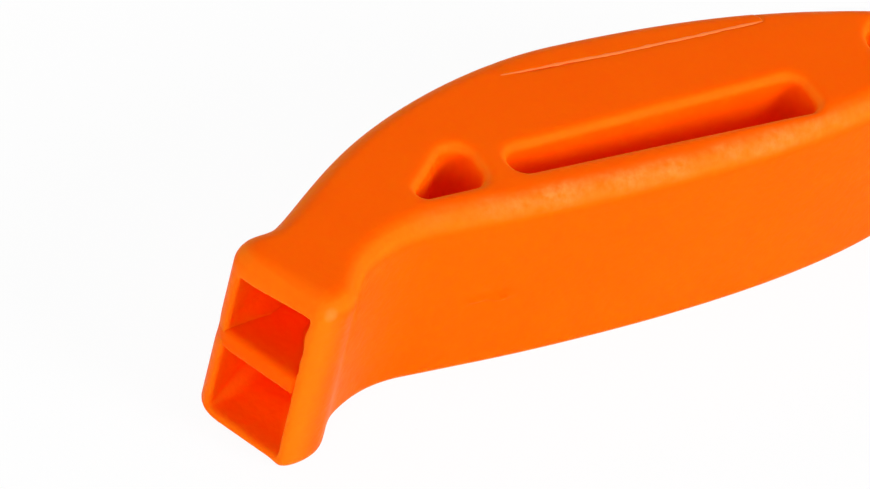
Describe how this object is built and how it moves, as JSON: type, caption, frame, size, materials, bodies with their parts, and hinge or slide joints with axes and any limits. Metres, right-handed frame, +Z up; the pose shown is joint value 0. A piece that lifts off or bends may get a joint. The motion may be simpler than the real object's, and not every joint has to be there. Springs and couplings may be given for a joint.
{
  "type": "whistle",
  "caption": "Bent moulded whistle without a pea: ducts lead from a ridged mouthpiece to sound windows under a welded chamber lid; slotted grip, eye in the tail.",
  "frame": {"origin": "middle of the whistle's length and depth, on the flat side that it lies on", "axes": "+X from the mouth to the tail, +Y to the side with the sound windows and the lid, +Z up through the thickness"},
  "size_m": [0.0644, 0.0212, 0.0156],
  "materials": {
    "body_plastic": "semi-gloss",
    "plate_plastic": "semi-gloss",
    "lid_plastic": "semi-gloss"
  },
  "bodies": {
    "root": {"whistle_body": "body_plastic", "septum_plate": "plate_plastic", "chamber_cover": "lid_plastic"}
  },
  "joints": []
}
